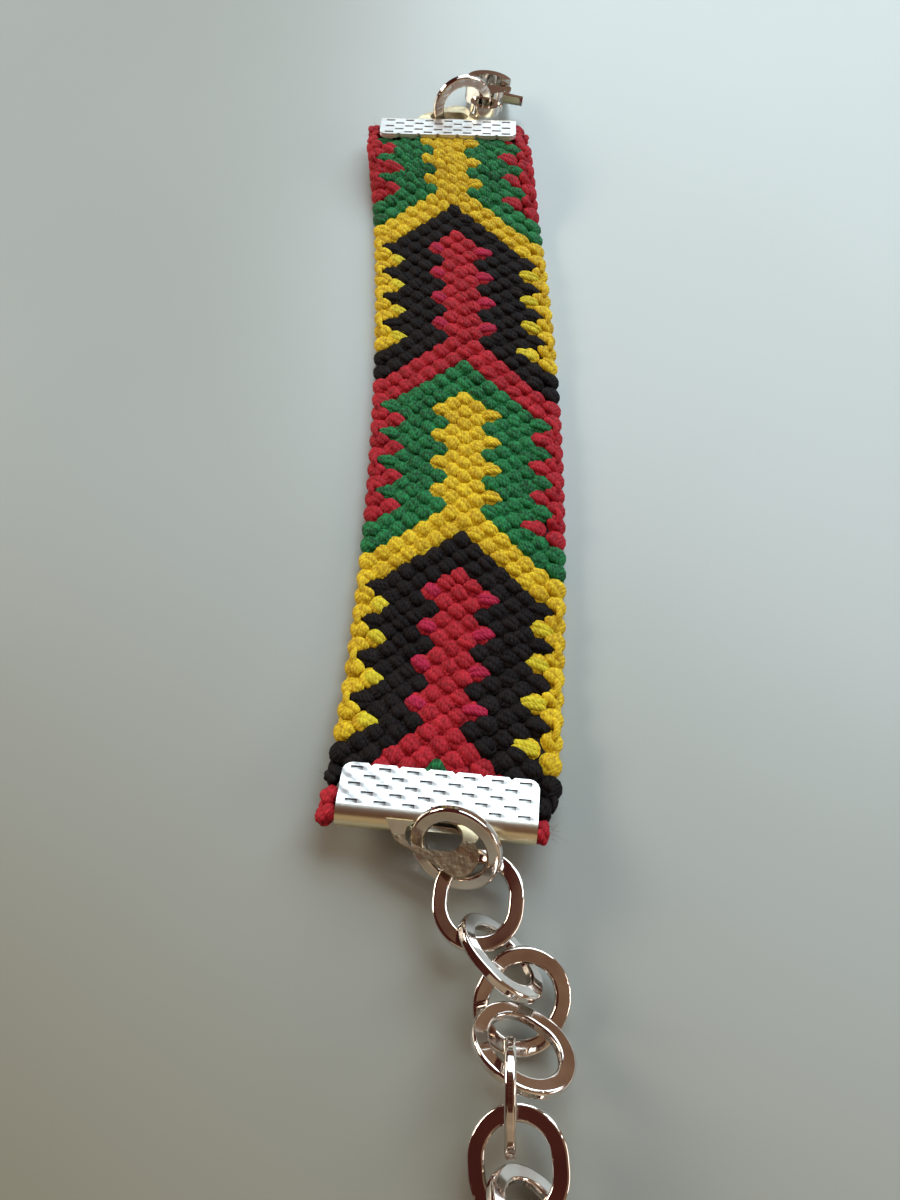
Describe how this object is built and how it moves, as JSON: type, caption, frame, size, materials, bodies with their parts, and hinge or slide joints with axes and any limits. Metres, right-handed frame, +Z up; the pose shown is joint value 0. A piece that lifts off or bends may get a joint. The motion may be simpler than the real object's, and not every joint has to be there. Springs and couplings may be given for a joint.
{
  "type": "friendship bracelet",
  "caption": "Flat knotted cotton bracelet laid open, with folded ribbon crimps, an extender chain of oval links and a lobster clasp.",
  "frame": {"origin": "on the table under the middle of the band, on the band's flat underside", "axes": "+Y along the band towards the lobster clasp, +Z up out of the patterned face, +X across the band"},
  "size_m": [0.0216, 0.1506, 0.0078],
  "materials": {
    "cotton": "knotted cotton thread in red, green, yellow and black",
    "plated_steel": "polished silver-coloured plating"
  },
  "bodies": {
    "bracelet": {"band": "cotton", "crimp_near": "plated_steel", "crimp_far": "plated_steel", "jump_ring_near": "plated_steel", "jump_ring_far": "plated_steel", "link_1": "plated_steel", "link_2": "plated_steel", "link_3": "plated_steel", "link_4": "plated_steel", "link_5": "plated_steel", "link_6": "plated_steel", "link_7": "plated_steel", "link_8": "plated_steel", "link_9": "plated_steel", "link_10": "plated_steel", "link_11": "plated_steel", "link_12": "plated_steel", "clasp_body": "plated_steel"},
    "lever": {"clasp_lever": "plated_steel"}
  },
  "joints": [
    {"name": "clasp_lever_pivot", "type": "hinge", "parent": "bracelet", "child": "lever", "pos_m": [0.00548, 0.04781, 0.00236], "axis": [-0.1138, -0.2118, -0.9707], "range_deg": [0, 30], "stiffness_Nm_per_rad": 0.0002}
  ]
}
